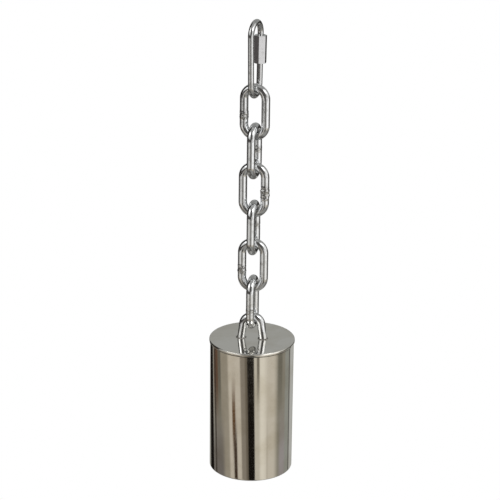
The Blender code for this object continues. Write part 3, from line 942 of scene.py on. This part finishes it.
CHAIN_CARDS = (
    ("grey surround", 0, 200, 1, -22.4, 0, 0.5, "#a09f9c"),
    ("left soft card", -50, 13, 12, -22.4, 2, 0.5, "#d6d5d2", 1.05),
    ("grey room behind the camera", -9, 9, 12, -22.4, 2, 0.5, "#8b8985"),
    ("dark room behind the camera", -8, 10, 12, -17.2, 2, 1, "#5c5a57"),
    ("right white card", 52, 20, 12, -22.4, 4, 0.5, "#efeeeb", 1.04),
    ("white core of the right card", 52, 16, 10, -17.6, 4, 1, "#ffffff", 1.2),
    ("left shade", -82, 5, 10, -17.6, 4, 1, "#6b6966"),
    ("left edge flag", -142, 38, 8, -22.4, 4, 0.5, "#161412"),
    ("right edge flag", 138, 40, 8, -22.4, 4, 0.5, "#5f5e5b"),
    ("left dark wall", -70, 62, 6, -15.3, 4, 0.4, "#403d3b"),
    ("left wall's lit strip", -86, 5, 5, -15.3, 0, 0.4, "#4e4a49"),
    ("right pale card", 36, 20, 5, -15.3, 0, 0.4, "#d8d6d5"),
    ("dark band behind", 180, 50, 20, -22.2, 3, 0.8, "#33312f"),
)
HIGH_CARDS = (
    ("grey upper wall", 0, 200, 1, 3, 90, 3, "#8d8d8b"),
    ("back wall", 180, 70, 30, 7, 34, 3, "#979896"),
    ("left high card", -62, 22, 14, 8, 50, 6, "#e8e8e6"),
    ("right high card", 70, 26, 14, 4, 52, 6, "#f2f2f0"),
    ("front dark gap", 0, 20, 12, 3, 50, 6, "#4b4947"),
    ("left dark tower", -118, 22, 8, -8, 74, 6, "#1d1b19"),
    ("overhead ceiling", 0, 200, 1, 66, 90, 8, "#a3a3a1"),
)


SURROUND = "#96958f"  # what is between the cards
# The low cards lean: their edges move to the left further up, and most on the left.
LEAN_HEIGHT = -24.9  # where they are at their own bearings
LEAN_BEARINGS, LEAN_RATES = (-70.0, 60.0), (3.9, 0.8)  # degrees across for each degree up

# Each lamp: name, place, size and power in watts
LAMPS = (
    ("key_softbox", (0.9, -0.8, 0.9), 0.6, 3.0),
    ("fill_softbox", (-1.0, -0.5, 0.7), 0.6, 1.5),
)
FLOOR_HALF = 40.0  # half the floor's width


def card(tree, before, bearing, height, _, middle, half, soft, low, high, fade, code, strength=1.0):
    """Mix one card over what is before it."""
    turned = node(tree, MATH, {0: bearing, 1: middle}, operation="SUBTRACT")
    turned = node(tree, MATH, {0: turned, 1: -180.0, 2: 180.0}, operation="WRAP")
    turned = node(tree, MATH, {0: turned}, operation="ABSOLUTE")
    across = node(tree, RANGE, {
        "Value": turned, "From Min": half, "From Max": half + soft, "To Min": 1.0, "To Max": 0.0,
    }, interpolation_type="SMOOTHSTEP")
    for limit, inside, outside in ((low, 1.0, 0.0), (high, 0.0, 1.0)):
        edge = node(tree, RANGE, {
            "Value": height, "From Min": limit - fade, "From Max": limit + fade,
            "To Min": outside, "To Max": inside,
        }, interpolation_type="SMOOTHSTEP")
        across = node(tree, MATH, {0: across, 1: edge}, operation="MULTIPLY")
    shade = [channel * strength for channel in linear(code)[:3]] + [1.0]
    return node(tree, "ShaderNodeMix", {
        MIX_FACTOR: across, MIX_A: before, MIX_B: shade,
    }, data_type="RGBA").outputs[MIX_RESULT]


def build_room(scene):
    """The studio's cards and walls, which the metal mirrors. The camera itself sees plain white."""
    world = bpy.data.worlds.new("studio_room")
    scene.world = world
    world.use_nodes = True
    tree = world.node_tree
    tree.nodes.clear()
    toward = node(tree, "ShaderNodeTexCoord").outputs["Generated"]
    split = node(tree, "ShaderNodeSeparateXYZ", {0: toward}).outputs
    back = node(tree, MATH, {0: split["Y"], 1: -1.0}, operation="MULTIPLY")
    bearing = node(tree, MATH, {0: split["X"], 1: back}, operation="ARCTAN2")
    bearing = node(tree, MATH, {0: bearing}, operation="DEGREES")
    height = node(tree, MATH, {0: split["Z"]}, operation="ARCSINE")
    height = node(tree, MATH, {0: height}, operation="DEGREES")
    climb = node(tree, MATH, {0: height, 1: LEAN_HEIGHT}, operation="SUBTRACT")
    slant = node(tree, RANGE, {
        "Value": bearing, "From Min": LEAN_BEARINGS[0], "From Max": LEAN_BEARINGS[1],
        "To Min": LEAN_RATES[0], "To Max": LEAN_RATES[1],
    })
    leaning = node(tree, MATH, {0: climb, 1: slant, 2: bearing}, operation="MULTIPLY_ADD")
    tone = linear(SURROUND)
    for facts in LOW_CARDS:
        tone = card(tree, tone, leaning, height, *facts)
    for facts in CHAIN_CARDS + HIGH_CARDS:
        tone = card(tree, tone, bearing, height, *facts)
    lit = node(tree, "ShaderNodeBackground", {
        "Color": tone, "Strength": scene.pipe_bell_studio.brightness,
    })
    seen = node(tree, "ShaderNodeBackground", {
        "Color": scene.pipe_bell_finishes.floor, "Strength": 1.0,
    })
    straight = node(tree, "ShaderNodeLightPath").outputs["Is Camera Ray"]
    mixed = node(tree, "ShaderNodeMixShader", {0: straight, 1: lit, 2: seen})
    node(tree, "ShaderNodeOutputWorld", {"Surface": mixed})


def build_floor(scene):
    """A wide pale floor well below the bell, seen by the camera only."""
    studio = scene.pipe_bell_studio
    mesh = bpy.data.meshes.new("studio_floor")
    half, down = FLOOR_HALF, -studio.floor_drop
    corners = [(-half, -half, down), (half, -half, down), (half, half, down), (-half, half, down)]
    mesh.from_pydata(corners, [], [(0, 1, 2, 3)])
    floor = bpy.data.objects.new("studio_floor", mesh)
    scene.collection.objects.link(floor)
    white = bpy.data.materials.new("lit_white_sweep")
    white.use_nodes = True
    white.node_tree.nodes.clear()
    glow = node(white.node_tree, "ShaderNodeEmission", {
        "Color": scene.pipe_bell_finishes.floor, "Strength": 1.0,
    })
    node(white.node_tree, "ShaderNodeOutputMaterial", {"Surface": glow})
    mesh.materials.append(white)
    floor.visible_glossy = False
    floor.visible_diffuse = False
    floor.visible_shadow = False


def build_light(scene):
    """Two soft lamps: a key high on the right and a fill high on the left."""
    for name, place, size, power in LAMPS:
        data = bpy.data.lights.new(name, "AREA")
        data.size = size
        data.energy = power
        lamp = bpy.data.objects.new(name, data)
        scene.collection.objects.link(lamp)
        lamp.location = place
        aim = Vector((0.0, 0.0, (CAD_BOX[0].z + CAD_BOX[1].z) / 2)) - Vector(place)
        lamp.rotation_euler = aim.to_track_quat("-Z", "Y").to_euler()


def build_camera(scene):
    """A long lens in front of the bell, looking down on it."""
    studio = scene.pipe_bell_studio
    data = bpy.data.cameras.new("camera")
    data.sensor_width = 36.0
    data.lens = studio.lens
    camera = bpy.data.objects.new("camera", data)
    scene.collection.objects.link(camera)
    camera.location = (0.0, -studio.distance, studio.height)
    look = (
        Matrix.Rotation(studio.heading, 3, "Z")
        @ Matrix.Rotation(math.radians(90.0) - studio.pitch, 3, "X")
        @ Matrix.Rotation(studio.roll, 3, "Z")
    )
    camera.rotation_euler = look.to_euler()
    scene.camera = camera


# ---------------------------------------------------------------- operators


class PIPEBELL_OT_studio(bpy.types.Operator):
    """Make the camera, the floor, the room and the lamps"""

    bl_idname = "pipe_bell.studio"
    bl_label = "Studio"

    def execute(self, context):
        scene = context.scene
        scene.view_settings.view_transform = "Standard"
        build_camera(scene)
        build_room(scene)
        build_floor(scene)
        build_light(scene)
        return {"FINISHED"}


class PIPEBELL_OT_quick_link(bpy.types.Operator):
    """Make the quick link's body with its threaded stubs"""

    bl_idname = "pipe_bell.quick_link"
    bl_label = "Quick Link"

    def execute(self, context):
        build_quick_link()
        return {"FINISHED"}


class PIPEBELL_OT_sleeve(bpy.types.Operator):
    """Make the hexagon sleeve that closes the quick link"""

    bl_idname = "pipe_bell.sleeve"
    bl_label = "Sleeve"

    def execute(self, context):
        build_sleeve()
        return {"FINISHED"}


class PIPEBELL_OT_links(bpy.types.Operator):
    """Make the six chain links, the hanger and the clapper's link"""

    bl_idname = "pipe_bell.links"
    bl_label = "Chain and Hanger"

    def execute(self, context):
        for seed, facts in enumerate(LINKS, start=1):
            build_link(*facts, seed)
        return {"FINISHED"}


class PIPEBELL_OT_shell(bpy.types.Operator):
    """Make the bell's plate and tube"""

    bl_idname = "pipe_bell.shell"
    bl_label = "Plate and Tube"

    def execute(self, context):
        build_plate()
        build_tube()
        return {"FINISHED"}


class PIPEBELL_OT_welds(bpy.types.Operator):
    """Make the beads on the hanger and the fillet inside the bell"""

    bl_idname = "pipe_bell.welds"
    bl_label = "Welds"

    def execute(self, context):
        build_welds()
        return {"FINISHED"}


class PIPEBELL_OT_clapper(bpy.types.Operator):
    """Make the clapper's rod and ball"""

    bl_idname = "pipe_bell.clapper"
    bl_label = "Clapper"

    def execute(self, context):
        build_clapper()
        return {"FINISHED"}


OPERATORS = (
    PIPEBELL_OT_studio, PIPEBELL_OT_quick_link, PIPEBELL_OT_sleeve, PIPEBELL_OT_links,
    PIPEBELL_OT_shell, PIPEBELL_OT_welds, PIPEBELL_OT_clapper,
)


class PIPEBELL_PT_panel(bpy.types.Panel):
    """The bell's sizes, finishes and steps"""

    bl_idname = "PIPEBELL_PT_panel"
    bl_label = "Pipe Bell"
    bl_space_type = "VIEW_3D"
    bl_region_type = "UI"
    bl_category = "Pipe Bell"

    def draw(self, context):
        scene = context.scene
        for group in (scene.pipe_bell_sizes, scene.pipe_bell_finishes, scene.pipe_bell_studio):
            box = self.layout.box()
            for name in group.__annotations__:
                box.prop(group, name)
        for operator in OPERATORS:
            self.layout.operator(operator.bl_idname)


GROUPS = {
    "pipe_bell_sizes": PipeBellSizes,
    "pipe_bell_finishes": PipeBellFinishes,
    "pipe_bell_studio": PipeBellStudio,
}


def register():
    for made in (*GROUPS.values(), *OPERATORS, PIPEBELL_PT_panel):
        bpy.utils.register_class(made)
    for name, group in GROUPS.items():
        setattr(bpy.types.Scene, name, bpy.props.PointerProperty(type=group))


def unregister():
    for name in GROUPS:
        delattr(bpy.types.Scene, name)
    for made in reversed((*GROUPS.values(), *OPERATORS, PIPEBELL_PT_panel)):
        bpy.utils.unregister_class(made)


def main():
    register()
    bpy.ops.pipe_bell.studio()
    bpy.ops.pipe_bell.quick_link()
    bpy.ops.pipe_bell.sleeve()
    bpy.ops.pipe_bell.links()
    bpy.ops.pipe_bell.shell()
    bpy.ops.pipe_bell.welds()
    bpy.ops.pipe_bell.clapper()


if __name__ == "__main__":
    main()
